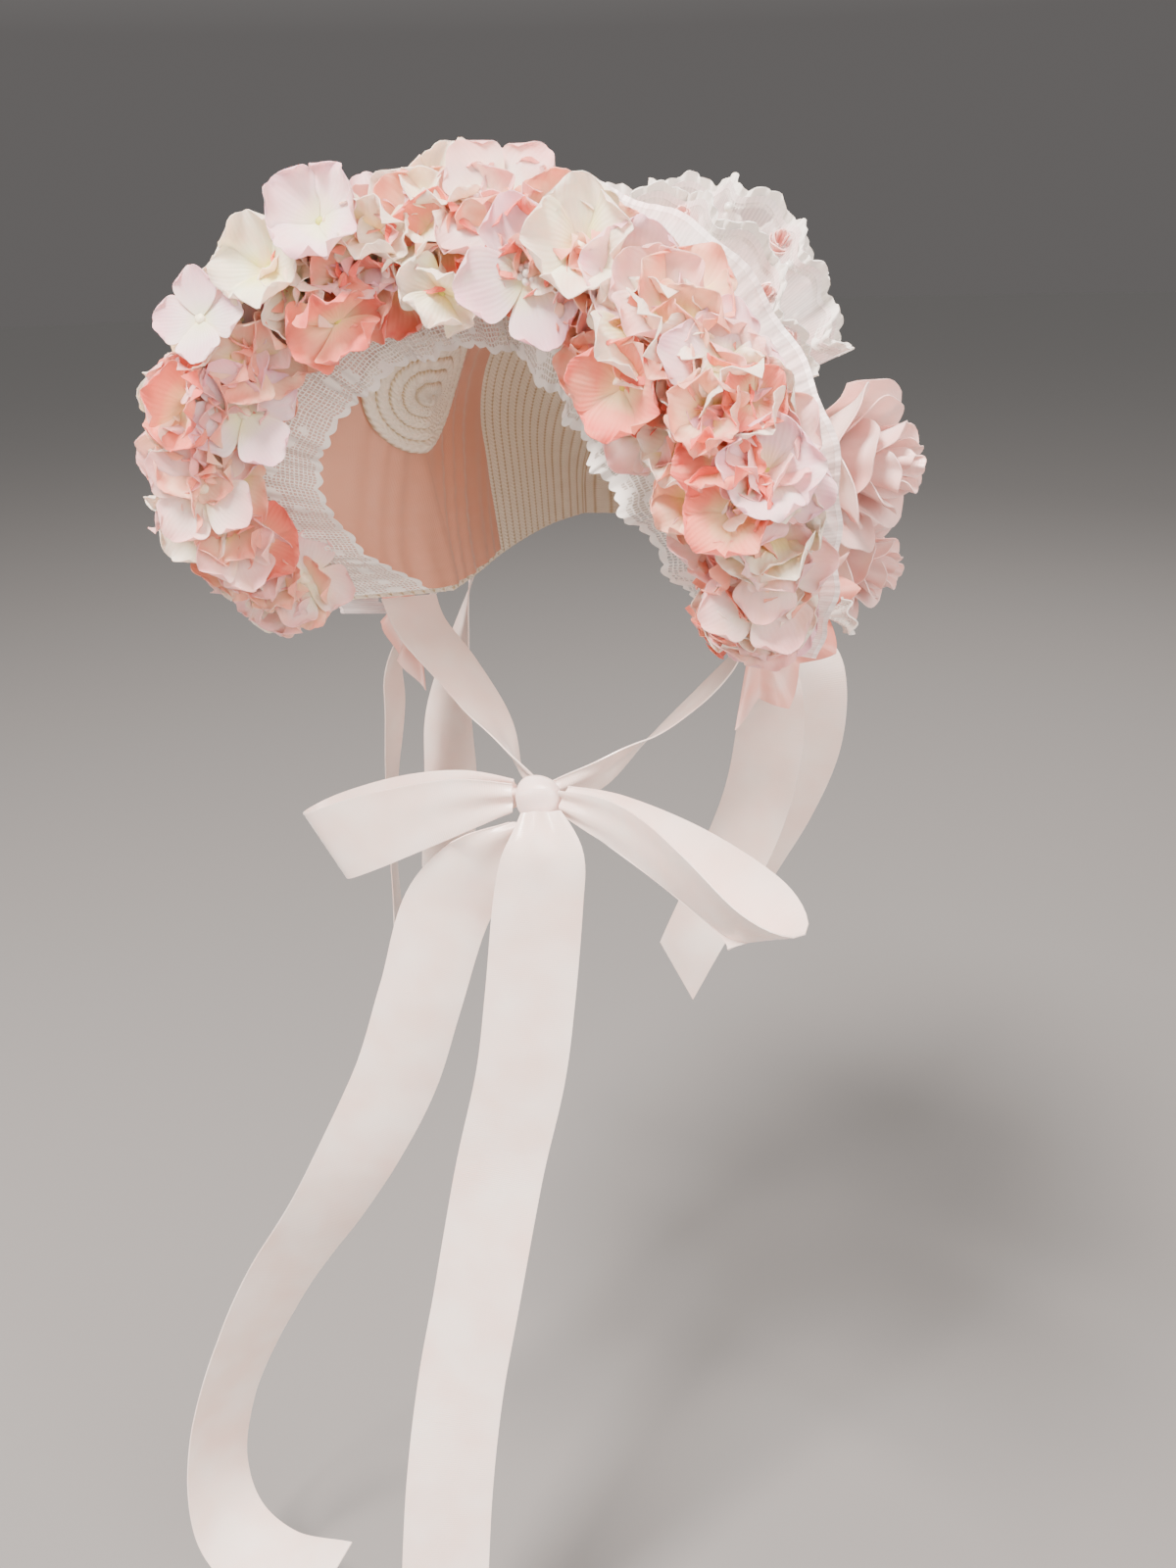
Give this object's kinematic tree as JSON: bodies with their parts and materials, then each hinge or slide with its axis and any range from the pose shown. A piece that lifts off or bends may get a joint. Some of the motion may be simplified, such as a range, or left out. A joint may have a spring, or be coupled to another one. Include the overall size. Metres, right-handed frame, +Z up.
{
  "type": "lolita bonnet",
  "caption": "Bonnet with a braid crown and flaring brim, edged with cloth flowers, frills and lace, with satin roses, chin ribbons in a bow and long tails.",
  "frame": {"origin": "inside the crown where it rests on the top of the head", "axes": "+Z up, +Y to the back of the head, +X to the wearer's left"},
  "size_m": [0.3229, 0.3536, 0.6962],
  "materials": {
    "ivory_braid": "sewn braid, matt",
    "white_lace": "net with corded flowers, matt",
    "white_organza": "sheer with a soft sheen",
    "pink_satin": "satin",
    "pale_satin": "satin",
    "rose_satin": "satin",
    "petal_pink": "pressed cloth, matt",
    "petal_cream": "pressed cloth, matt",
    "petal_coral": "pressed cloth, matt"
  },
  "bodies": {
    "root": {"crown": "ivory_braid", "crown_lining": "pink_satin", "brim": "ivory_braid", "brim_lining": "pink_satin", "brim_frill": "white_organza", "brim_lace": "white_lace", "braid_round": "ivory_braid", "crown_ruffle_front": "white_organza", "crown_ruffle_middle": "white_organza", "crown_ruffle_back": "white_organza", "flower_cluster_01": "petal_pink", "flower_cluster_02": "petal_coral", "flower_cluster_03": "petal_cream", "flower_cluster_04": "petal_pink", "flower_cluster_05": "petal_coral", "flower_cluster_06": "petal_cream", "flower_cluster_07": "petal_pink", "flower_cluster_08": "petal_coral", "flower_cluster_09": "petal_cream", "rose_large_left": "rose_satin", "rose_large_right": "rose_satin", "rose_small_left": "rose_satin", "rose_small_right": "rose_satin", "satin_fan_left": "rose_satin", "satin_fan_right": "rose_satin", "chin_tie_left": "pale_satin", "chin_tie_right": "pale_satin", "bow_knot": "pale_satin", "bow_loop_left": "pale_satin", "bow_loop_right": "pale_satin", "tail_left": "pale_satin", "tail_right": "pale_satin", "streamer_left_inner": "pale_satin", "streamer_left_outer": "pale_satin", "streamer_right_front": "pale_satin", "streamer_right_back": "pale_satin"}
  },
  "joints": []
}
